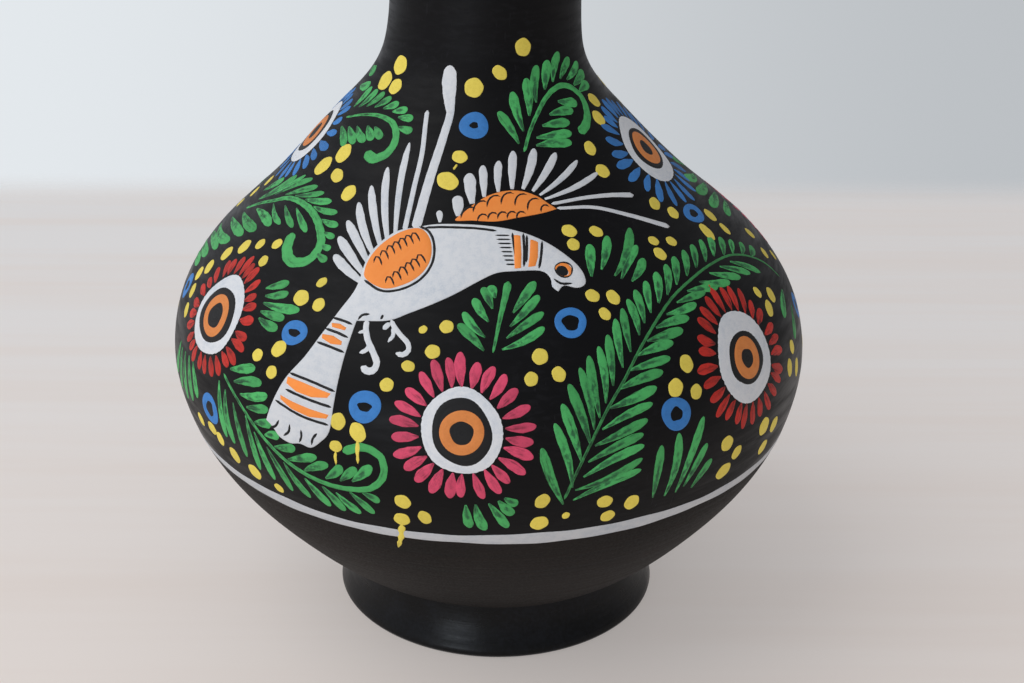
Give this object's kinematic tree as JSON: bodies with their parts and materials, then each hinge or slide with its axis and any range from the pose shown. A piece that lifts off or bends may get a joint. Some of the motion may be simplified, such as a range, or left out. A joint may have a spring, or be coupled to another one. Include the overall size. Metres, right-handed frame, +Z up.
{
  "type": "painted clay vase",
  "caption": "Round black clay vase on a foot ring with a narrow neck and rolled lip, hand-painted with a bird, flowers, ferns, rings and dots.",
  "frame": {"origin": "centre of the foot ring's underside, on the surface that the vase stands on", "axes": "+Z up along the vase's axis; the painted front with the bird faces -Y; +X to the right seen from the front"},
  "size_m": [0.1908, 0.1908, 0.255],
  "materials": {
    "clay_foot": "smoked black clay, softly burnished",
    "clay_raw": "smoked clay left matt, brownish black, with fine turning marks",
    "clay_black": "burnished black slip, satin with fine scratches",
    "paint_white": "brushed bluish white paint, matt",
    "paint_pink": "brushed pink paint, matt",
    "paint_red": "brushed red paint, matt",
    "paint_blue": "brushed blue paint, matt",
    "paint_black": "black paint, satin",
    "paint_ochre": "brownish orange paint, matt",
    "paint_yellow": "yellow paint, matt",
    "paint_green": "brushed green paint, thin at the strokes' ends",
    "paint_orange": "bright orange paint, matt"
  },
  "bodies": {
    "root": {"foot_ring": "clay_foot", "lower_bowl": "clay_raw", "upper_bowl": "clay_black", "neck": "clay_black", "lip": "clay_black", "belly_line": "paint_white", "petals_pink": "paint_pink", "petals_red": "paint_red", "petals_blue": "paint_blue", "flower_discs": "paint_white", "flower_pupils": "paint_black", "flower_rings": "paint_ochre", "blue_rings": "paint_blue", "dots_front": "paint_yellow", "dots_back": "paint_yellow", "paint_drips": "paint_yellow", "fern_upper_left": "paint_green", "fern_middle_left": "paint_green", "fern_left_edge": "paint_green", "fern_lower_left": "paint_green", "fern_upper_right": "paint_green", "fern_large_right": "paint_green", "fern_under_bird": "paint_green", "leaf_fans": "paint_green", "bird_body": "paint_white", "bird_near_feathers": "paint_white", "bird_far_feathers": "paint_white", "bird_shoulder_patch": "paint_orange", "bird_wing_patch": "paint_orange", "bird_bars": "paint_orange", "bird_legs": "paint_white", "bird_eye": "paint_orange", "bird_pen_lines": "paint_black", "bird_scallops": "paint_black"}
  },
  "joints": []
}
